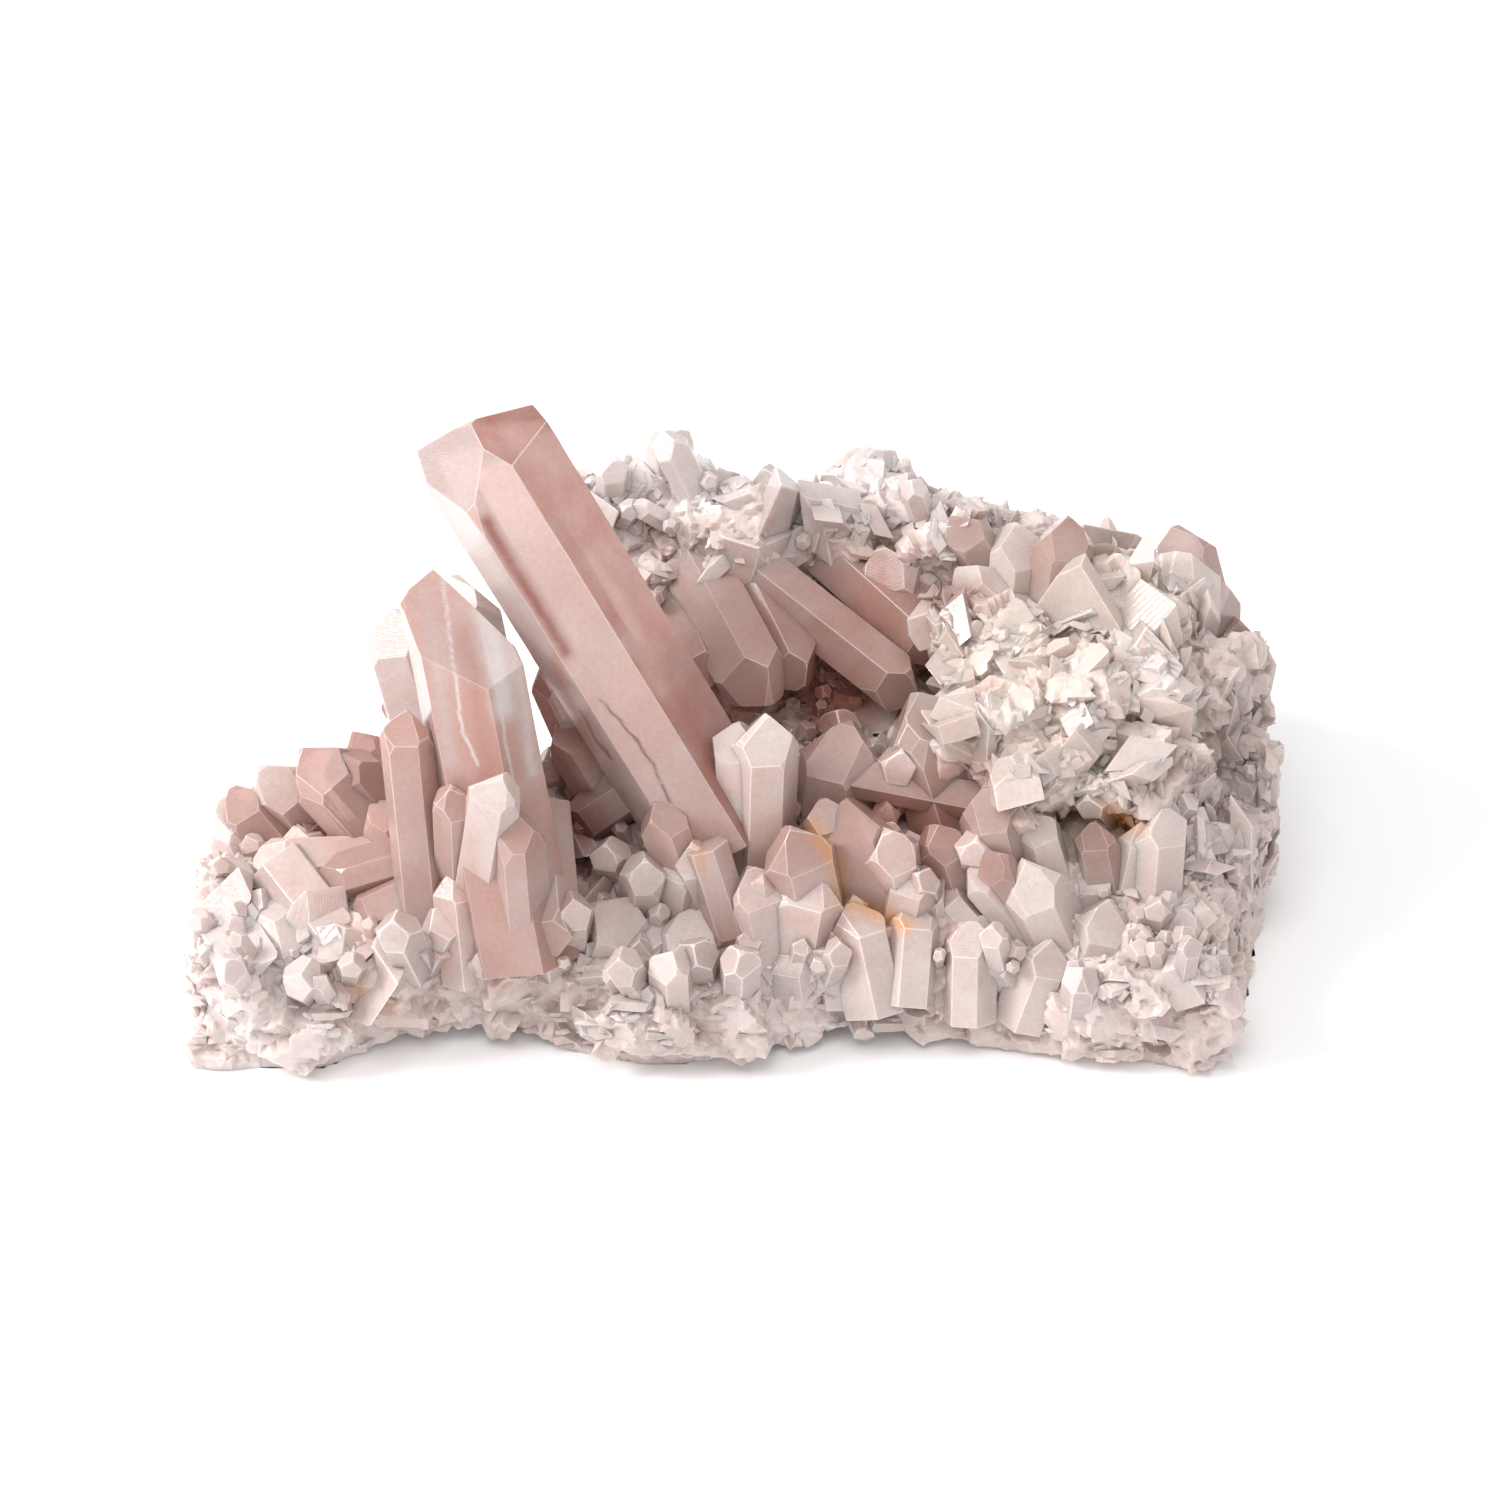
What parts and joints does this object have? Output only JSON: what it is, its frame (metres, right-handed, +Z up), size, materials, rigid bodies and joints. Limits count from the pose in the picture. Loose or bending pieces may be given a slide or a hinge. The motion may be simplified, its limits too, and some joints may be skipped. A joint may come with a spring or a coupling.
{
  "type": "quartz crystal cluster",
  "caption": "Natural cluster of milky quartz with one long leaning prismatic point, a shorter upright point and many small pink crystals, on a flat-cut base.",
  "frame": {"origin": "on the resting plane, under the middle of the piece's plan box", "axes": "+Z up from the resting face, +X towards the broken right flank, -Y towards the front with the open crystals"},
  "size_m": [0.15, 0.082, 0.0799],
  "materials": {
    "quartz": "glassy, milky to see-through"
  },
  "bodies": {
    "root": {"quartz_cluster": "quartz"}
  },
  "joints": []
}
